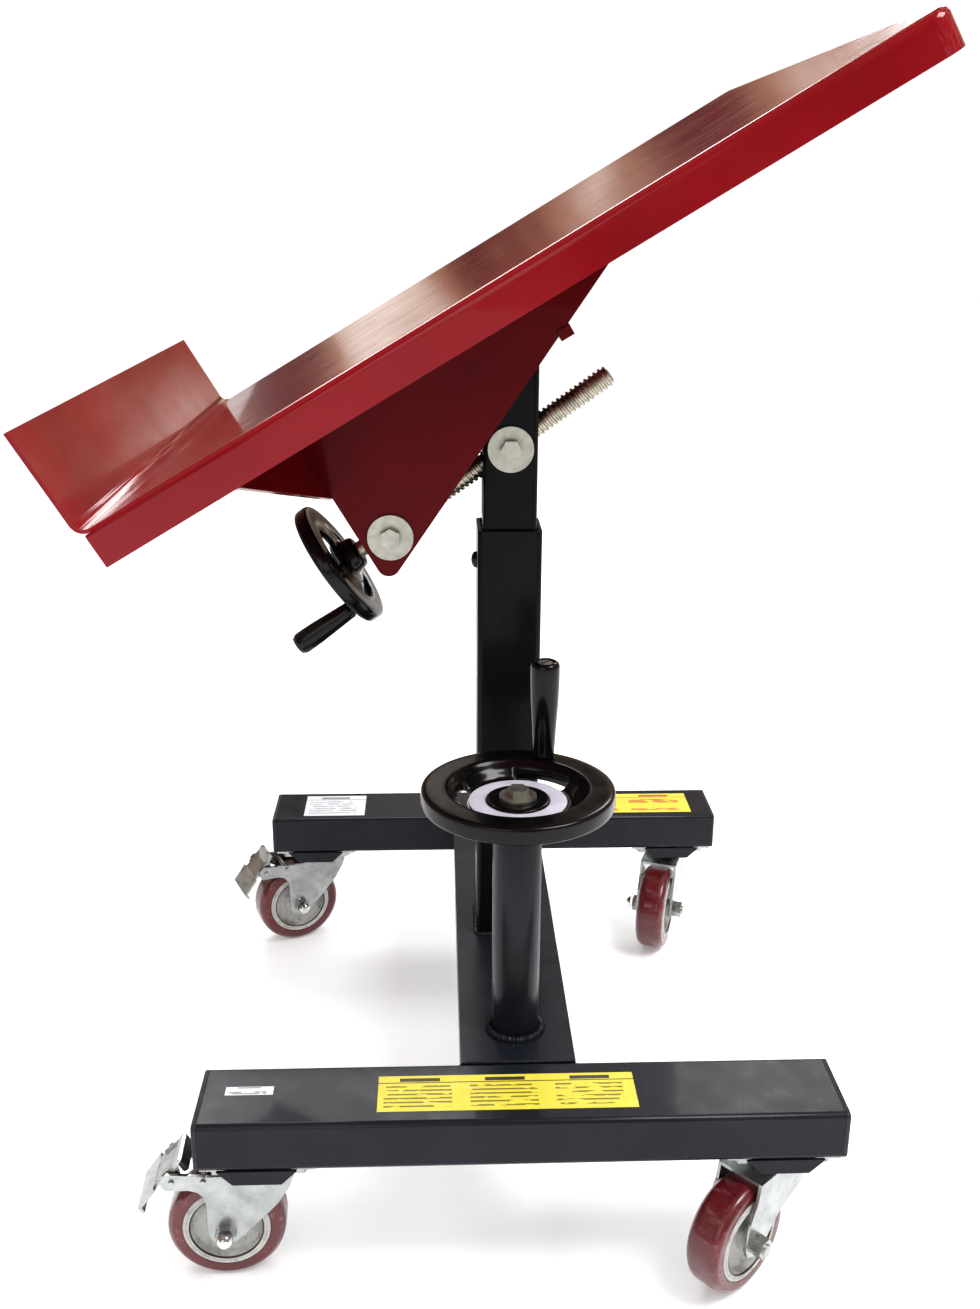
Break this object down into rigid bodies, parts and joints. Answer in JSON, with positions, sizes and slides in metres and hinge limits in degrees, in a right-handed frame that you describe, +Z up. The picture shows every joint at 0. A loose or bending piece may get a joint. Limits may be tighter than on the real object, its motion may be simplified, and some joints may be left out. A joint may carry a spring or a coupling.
{
  "type": "mobile tilting work table",
  "caption": "Hand-cranked work stand: a tilting red tray with a stop ledge on a telescoping column, on an H-shaped base with swivel casters.",
  "frame": {"origin": "on the floor, under the middle of the whole outline as stored", "axes": "+X along the base beams towards the tray's raised end, +Y from the handwheel side to the back, +Z up"},
  "size_m": [0.6258, 0.6904, 0.9938],
  "materials": {
    "frame_paint": "semi-gloss dark slate powder coat",
    "column_paint": "gloss near-black powder coat",
    "red_paint": "high-gloss deep red powder coat",
    "black_plastic": "glossy moulded phenolic",
    "cap_plastic": "satin moulded plastic",
    "nylon": "natural nylon",
    "zinc_plate": "bright zinc plate",
    "black_steel": "black oxide",
    "machined_steel": "oiled machined steel",
    "bronze": "sintered bronze",
    "satin_aluminium": "satin",
    "polyurethane": "glossy cast polyurethane",
    "hub_plastic": "grey moulded nylon"
  },
  "bodies": {
    "base": {"front_beam": "frame_paint", "rear_beam": "frame_paint", "spine_channel": "frame_paint", "chain_cover": "frame_paint", "cover_screws": "zinc_plate", "outer_column": "column_paint", "handwheel_post": "frame_paint", "beam_end_caps": "cap_plastic", "caster_guards": "frame_paint", "caster_top_plates": "zinc_plate", "caster_plate_bolts": "zinc_plate", "guide_sleeve": "nylon", "guide_bolt": "black_steel", "screw_bearing": "machined_steel", "shaft_bushes": "bronze", "roller_chain": "machined_steel"},
    "lift_wheel": {"handwheel_shaft": "machined_steel", "drive_sprocket": "machined_steel", "lift_handwheel": "black_plastic", "lift_wheel_ring": "satin_aluminium", "lift_wheel_fasteners": "zinc_plate", "lift_grip_spindle": "zinc_plate"},
    "lift_grip": {"lift_grip": "black_plastic"},
    "lift_screw": {"lift_screw": "machined_steel", "driven_sprocket": "machined_steel"},
    "mast": {"inner_column": "column_paint", "hinge_tube": "column_paint", "lift_nut": "machined_steel", "nut_pivot_bolts": "zinc_plate"},
    "tray": {"tray": "red_paint", "bracket_plates": "red_paint", "cross_gusset": "red_paint", "stop_bar": "red_paint", "hinge_pin": "red_paint", "tilt_pivot_bolts": "zinc_plate"},
    "tilt_bearing": {"tilt_bearing": "machined_steel"},
    "tilt_screw": {"tilt_screw": "machined_steel", "tilt_handwheel": "black_plastic", "tilt_wheel_fasteners": "zinc_plate", "tilt_grip_spindle": "zinc_plate"},
    "tilt_grip": {"tilt_grip": "black_plastic"},
    "tilt_nut": {"tilt_nut": "machined_steel"},
    "front_left_swivel": {"front_left_fork": "zinc_plate", "front_left_axle": "zinc_plate"},
    "front_left_wheel": {"front_left_tread": "polyurethane", "front_left_hub": "hub_plastic"},
    "front_left_brake": {"front_left_pedal": "zinc_plate"},
    "rear_left_swivel": {"rear_left_fork": "zinc_plate", "rear_left_axle": "zinc_plate"},
    "rear_left_wheel": {"rear_left_tread": "polyurethane", "rear_left_hub": "hub_plastic"},
    "rear_left_brake": {"rear_left_pedal": "zinc_plate"},
    "front_right_swivel": {"front_right_fork": "zinc_plate", "front_right_axle": "zinc_plate"},
    "front_right_wheel": {"front_right_tread": "polyurethane", "front_right_hub": "hub_plastic"},
    "rear_right_swivel": {"rear_right_fork": "zinc_plate", "rear_right_axle": "zinc_plate"},
    "rear_right_wheel": {"rear_right_tread": "polyurethane", "rear_right_hub": "hub_plastic"}
  },
  "joints": [
    {"name": "lift_wheel_turn", "type": "hinge", "parent": "base", "child": "lift_wheel", "pos_m": [0.04225, -0.17677, 0.406], "axis": [0, 0, 1], "range_deg": [-10800, 450]},
    {"name": "lift_grip_spin", "type": "hinge", "parent": "lift_wheel", "child": "lift_grip", "pos_m": [0.06875, -0.11277, 0.446], "axis": [0, 0, 1], "continuous": true},
    {"name": "lift_screw_turn", "type": "hinge", "parent": "base", "child": "lift_screw", "pos_m": [0.04225, 0.01523, 0.169], "axis": [0, 0, 1], "range_deg": [-10800, 450]},
    {"name": "mast_lift", "type": "slide", "parent": "base", "child": "mast", "axis": [0, 0, 1], "range_m": [-0.01, 0.24]},
    {"name": "tray_tilt", "type": "hinge", "parent": "mast", "child": "tray", "pos_m": [0.04225, 0.01523, 0.781], "axis": [0, 1, 0], "range_deg": [-9.2, 30.8]},
    {"name": "tilt_bearing_swing", "type": "hinge", "parent": "tray", "child": "tilt_bearing", "pos_m": [-0.06755, 0.01523, 0.58632], "axis": [0, 1, 0], "range_deg": [-2.58, 8.62]},
    {"name": "tilt_wheel_turn", "type": "hinge", "parent": "tilt_bearing", "child": "tilt_screw", "pos_m": [-0.06755, 0.01523, 0.58632], "axis": [0.8164, 0, 0.5775], "range_deg": [-4102.67, 1225.47]},
    {"name": "tilt_nut_travel", "type": "slide", "parent": "tilt_bearing", "child": "tilt_nut", "axis": [0.8164, 0, 0.5775], "range_m": [-0.01702, 0.05698]},
    {"name": "tilt_grip_spin", "type": "hinge", "parent": "tilt_screw", "child": "tilt_grip", "pos_m": [-0.12835, -0.02732, 0.50258], "axis": [0.8164, 0, 0.5775], "continuous": true},
    {"name": "front_left_swivel_turn", "type": "hinge", "parent": "base", "child": "front_left_swivel", "pos_m": [-0.17575, -0.26977, 0.107], "axis": [0, 0, 1], "continuous": true},
    {"name": "front_left_wheel_spin", "type": "hinge", "parent": "front_left_swivel", "child": "front_left_wheel", "pos_m": [-0.20773, -0.27089, 0.05], "axis": [0.0349, -0.9994, 0], "continuous": true},
    {"name": "front_left_brake_press", "type": "hinge", "parent": "front_left_swivel", "child": "front_left_brake", "pos_m": [-0.2497, -0.27235, 0.103], "axis": [0.0349, -0.9994, 0], "range_deg": [0, 12]},
    {"name": "rear_left_swivel_turn", "type": "hinge", "parent": "base", "child": "rear_left_swivel", "pos_m": [-0.17575, 0.30023, 0.107], "axis": [0, 0, 1], "continuous": true},
    {"name": "rear_left_wheel_spin", "type": "hinge", "parent": "rear_left_swivel", "child": "rear_left_wheel", "pos_m": [-0.20498, 0.28721, 0.05], "axis": [0.4067, -0.9135, 0], "continuous": true},
    {"name": "rear_left_brake_press", "type": "hinge", "parent": "rear_left_swivel", "child": "rear_left_brake", "pos_m": [-0.24335, 0.27013, 0.103], "axis": [0.4067, -0.9135, 0], "range_deg": [0, 12]},
    {"name": "front_right_swivel_turn", "type": "hinge", "parent": "base", "child": "front_right_swivel", "pos_m": [0.26025, -0.26977, 0.107], "axis": [0, 0, 1], "continuous": true},
    {"name": "front_right_wheel_spin", "type": "hinge", "parent": "front_right_swivel", "child": "front_right_wheel", "pos_m": [0.22309, -0.30323, 0.05], "axis": [0.6691, -0.7431, 0], "continuous": true},
    {"name": "rear_right_swivel_turn", "type": "hinge", "parent": "base", "child": "rear_right_swivel", "pos_m": [0.26025, 0.30023, 0.107], "axis": [0, 0, 1], "continuous": true},
    {"name": "rear_right_wheel_spin", "type": "hinge", "parent": "rear_right_swivel", "child": "rear_right_wheel", "pos_m": [0.24315, 0.25324, 0.05], "axis": [0.9397, -0.342, 0], "continuous": true}
  ],
  "couplings": [
    {"joint": "lift_screw_turn", "follows": "lift_wheel_turn", "ratio": 1},
    {"joint": "mast_lift", "follows": "lift_wheel_turn", "m_per_rad": -0.0012732},
    {"joint": "tray_tilt", "follows": "tilt_wheel_turn", "ratio": -0.0075073},
    {"joint": "tilt_bearing_swing", "follows": "tilt_wheel_turn", "ratio": -0.002102},
    {"joint": "tilt_nut_travel", "follows": "tilt_wheel_turn", "m_per_rad": -0.00079577}
  ]
}
